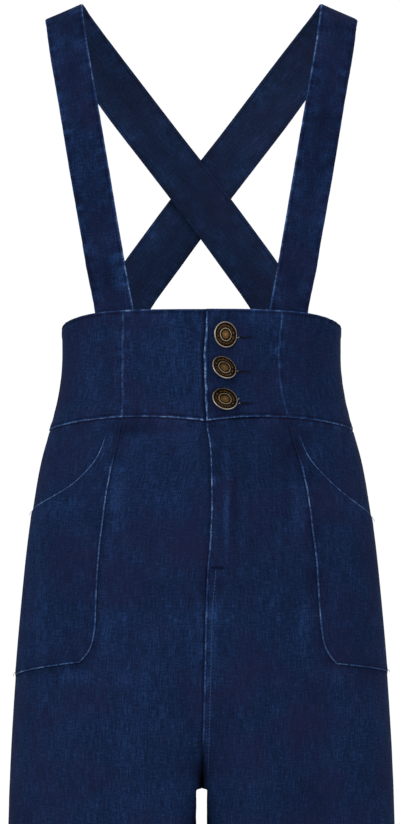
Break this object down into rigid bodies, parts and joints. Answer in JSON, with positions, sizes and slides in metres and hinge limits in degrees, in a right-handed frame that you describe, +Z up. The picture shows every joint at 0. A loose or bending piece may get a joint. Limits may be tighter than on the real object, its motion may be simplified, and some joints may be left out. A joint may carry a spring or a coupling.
{
  "type": "high-waisted wide-leg jeans with crossed braces",
  "caption": "Wide-leg denim trousers with a deep buttoned waist panel, patch pockets and braces that cross at the back, held in their worn hollow form.",
  "frame": {"origin": "midway between the two braces where they pass over the shoulders, level with their undersides", "axes": "+X to the wearer's left, +Y to the wearer's back, +Z up"},
  "size_m": [0.384, 0.2382, 1.4591],
  "materials": {
    "denim": "rigid indigo denim, 3/1 twill, lightly worn at the seams",
    "strap_denim": "two layers of indigo denim, edge stitched and slightly puckered",
    "brass": "antiqued brass, dark in the grooves"
  },
  "bodies": {
    "root": {"waist_front_right": "denim", "waist_front_left": "denim", "waist_side_right": "denim", "waist_side_left": "denim", "waist_back": "denim", "front_right": "denim", "front_left": "denim", "back_right": "denim", "back_left": "denim", "pocket_right": "denim", "pocket_left": "denim", "strap_right": "strap_denim", "strap_left": "strap_denim", "button_1": "brass", "button_2": "brass", "button_3": "brass"}
  },
  "joints": []
}
